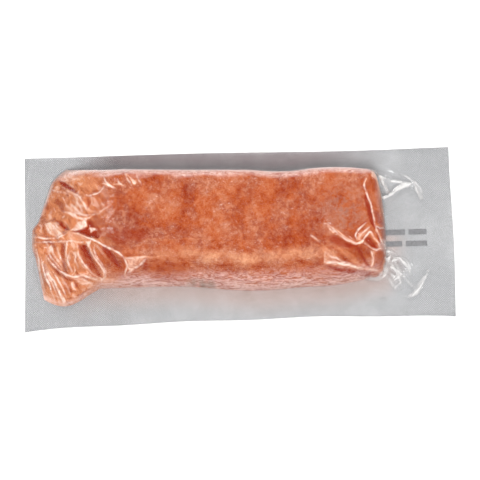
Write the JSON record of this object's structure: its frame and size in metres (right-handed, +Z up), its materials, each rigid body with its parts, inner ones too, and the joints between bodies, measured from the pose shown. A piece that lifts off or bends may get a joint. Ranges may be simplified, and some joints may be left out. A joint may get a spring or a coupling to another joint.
{
  "type": "vacuum-packed skinless salmon portion",
  "caption": "Frozen skinless salmon portion sealed in a clear vacuum pack, with film gathered in folds at both ends and a flat welded rim.",
  "frame": {"origin": "on the table, under the centre of the pack's bounding box", "axes": "+X along the pack towards the end with loose film, +Y across it to the far side, +Z up out of the table"},
  "size_m": [0.206, 0.0871, 0.0251],
  "materials": {
    "salmon_flesh": "moist orange-pink fish flesh with pale fat and frost, under tight film",
    "clear_film": "clear grey-white glossy packaging film",
    "print_ink": "flat dark grey ink"
  },
  "bodies": {
    "root": {"sealed_salmon_portion": "salmon_flesh"}
  },
  "joints": []
}
